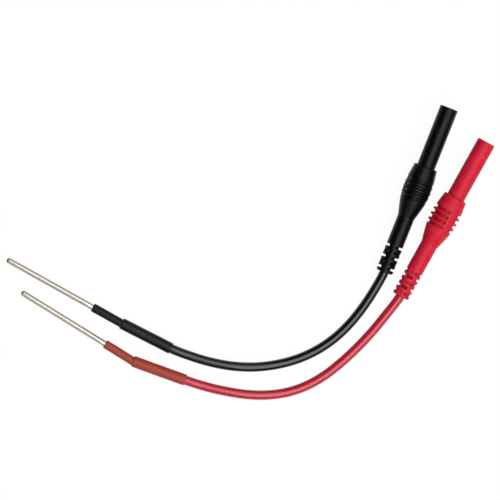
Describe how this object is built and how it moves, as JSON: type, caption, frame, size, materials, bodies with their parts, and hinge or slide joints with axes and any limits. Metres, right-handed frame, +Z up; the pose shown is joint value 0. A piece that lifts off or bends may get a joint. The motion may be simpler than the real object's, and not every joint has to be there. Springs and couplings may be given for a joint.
{
  "type": "test lead pair",
  "caption": "Black and red short test leads: round probe pin, heat-shrink sleeves, flexible cable, grooved handle with slotted strain relief, shrouded 4 mm plug.",
  "frame": {"origin": "on the bench under the middle of the pair, the middle being that of the box round both leads' rigid pieces, without the cables", "axes": "+Z up off the bench; +X from the probe pins towards the red handle; +Y towards the mouths of the plugs"},
  "size_m": [0.1882, 0.1137, 0.0114],
  "materials": {
    "nickel": "bright nickel plating over brass, lightly drawn along its length",
    "solder": "dull tin solder",
    "copper": "fine bare copper strands",
    "spring_bronze": "thin gold-coloured beryllium copper sheet",
    "black_shrink": "matt black heat-shrink",
    "red_shrink": "matt brick-red heat-shrink",
    "black_cable": "glossy soft black cable jacket",
    "red_cable": "glossy soft red cable jacket",
    "black_handle": "satin black soft moulding with a fine grain",
    "red_handle": "satin red soft moulding with a fine grain",
    "black_shroud": "satin black hard plastic tube",
    "red_shroud": "satin red hard plastic tube"
  },
  "bodies": {
    "black_lead": {"black_probe_pin": "nickel", "black_solder": "solder", "black_pin_sleeve": "black_shrink", "black_cable_sleeve": "black_shrink", "black_cable_jacket": "black_cable", "black_conductor": "copper", "black_handle": "black_handle", "black_shroud": "black_shroud", "black_plug_pin": "nickel", "black_contact_spring": "spring_bronze"},
    "red_lead": {"red_probe_pin": "nickel", "red_solder": "solder", "red_pin_sleeve": "red_shrink", "red_cable_sleeve": "red_shrink", "red_cable_jacket": "red_cable", "red_conductor": "copper", "red_handle": "red_handle", "red_shroud": "red_shroud", "red_plug_pin": "nickel", "red_contact_spring": "spring_bronze"}
  },
  "joints": [
    {"name": "red_lead_lift", "type": "slide", "parent": "black_lead", "child": "red_lead", "axis": [0, 0, 1], "range_m": [0, 0.06]}
  ]
}
